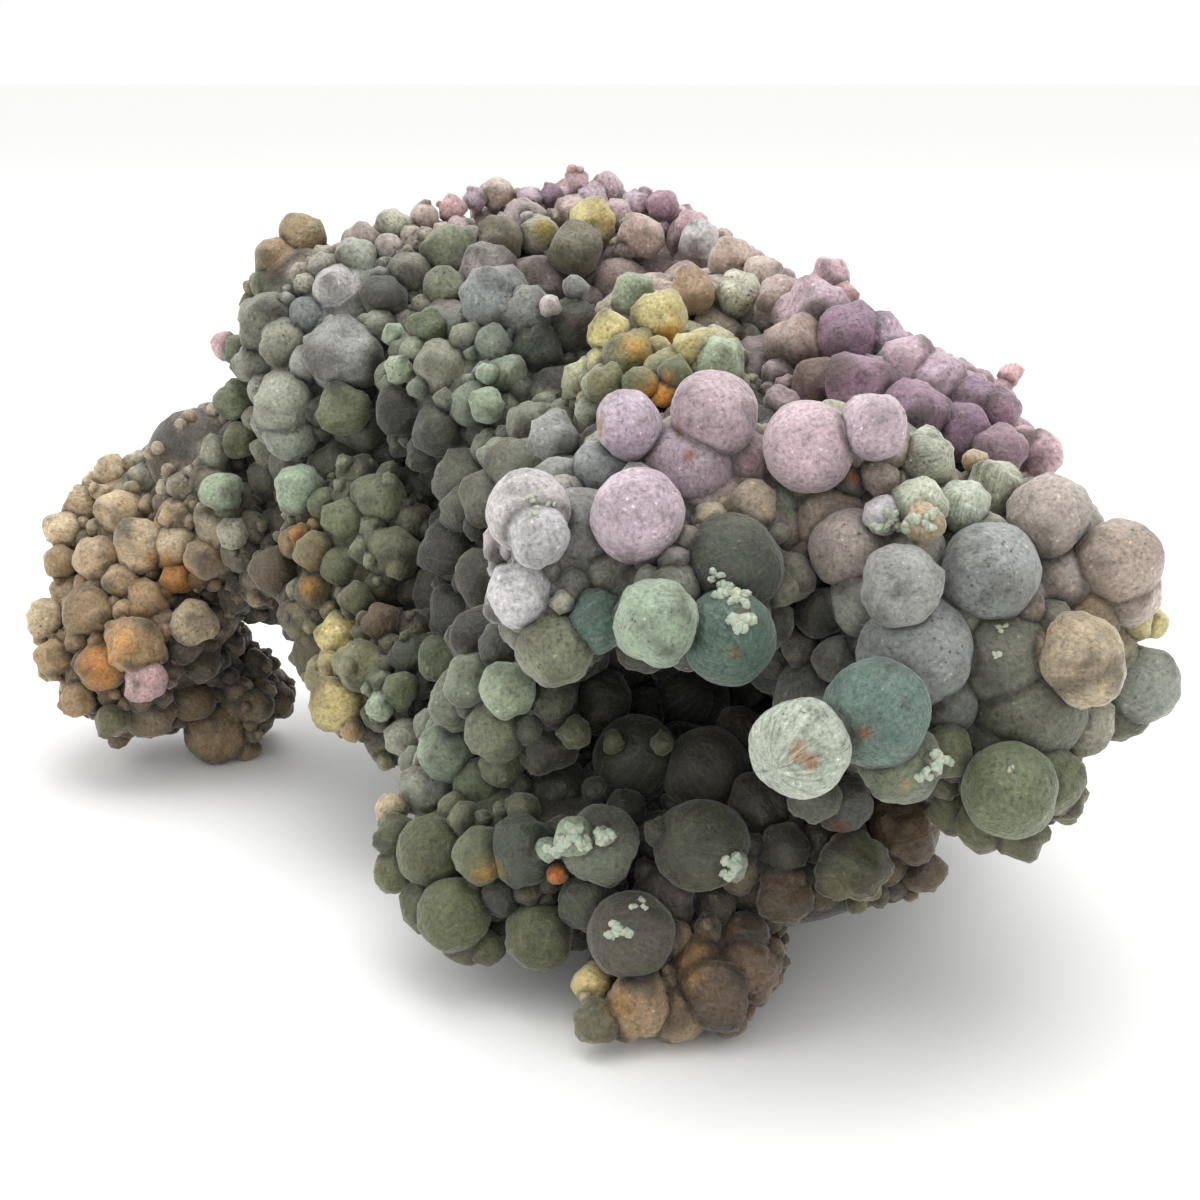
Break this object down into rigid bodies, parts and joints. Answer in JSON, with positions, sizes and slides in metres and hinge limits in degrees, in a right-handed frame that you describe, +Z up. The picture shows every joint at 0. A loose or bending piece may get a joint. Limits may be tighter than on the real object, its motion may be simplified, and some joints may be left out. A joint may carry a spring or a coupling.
{
  "type": "grape agate",
  "caption": "Palm-sized grape agate: a branching crust of fused round chalcedony grapes in grey, green, lilac and tan, standing on uneven feet.",
  "frame": {"origin": "on the ground under the middle of the specimen's bounding box", "axes": "+Z up, +X to the right and -Y towards the viewer as the specimen is shown, its long way along X"},
  "size_m": [0.087, 0.0754, 0.052],
  "materials": {
    "chalcedony": "frosted, sugary microcrystalline chalcedony with a soft inner glow"
  },
  "bodies": {
    "root": {"grape_agate": "chalcedony"}
  },
  "joints": []
}
